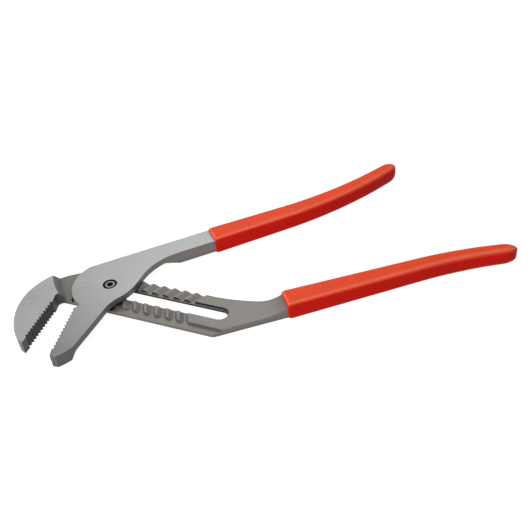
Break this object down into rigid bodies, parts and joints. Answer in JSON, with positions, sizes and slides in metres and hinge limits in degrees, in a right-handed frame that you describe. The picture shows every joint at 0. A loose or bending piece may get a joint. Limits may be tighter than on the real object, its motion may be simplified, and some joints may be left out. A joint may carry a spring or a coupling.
{
  "type": "slip joint pliers",
  "caption": "Groove-joint slip joint pliers: a slotted bar with arc grooves, a tongued front half on a sliding pivot, toothed jaws and dipped red grips.",
  "frame": {"origin": "on the pivot axis, on the back face of the pivot nut, which is level with the back of the steel", "axes": "+X along the slot from the jaws to the handles, +Z out of the front face, +Y in the plane of the tool, towards the front handle"},
  "size_m": [0.3732, 0.3255, 0.0172],
  "materials": {
    "bar_steel": "satin blasted",
    "head_steel": "fine ground",
    "red_grip": "satin dipped vinyl",
    "nut_steel": "satin",
    "black_steel": "black oxide"
  },
  "bodies": {
    "back": {"back_half": "bar_steel", "back_grip": "red_grip"},
    "pivot": {"pivot_nut": "nut_steel", "pivot_screw": "black_steel"},
    "front": {"front_half": "head_steel", "front_grip": "red_grip"}
  },
  "joints": [
    {"name": "setting_slide", "type": "slide", "parent": "back", "child": "pivot", "axis": [1, 0, 0], "range_m": [0, 0.1]},
    {"name": "jaw_hinge", "type": "hinge", "parent": "pivot", "child": "front", "pos_m": [0, 0, 0], "axis": [0, 0, 1], "range_deg": [-10.8, 38]}
  ]
}
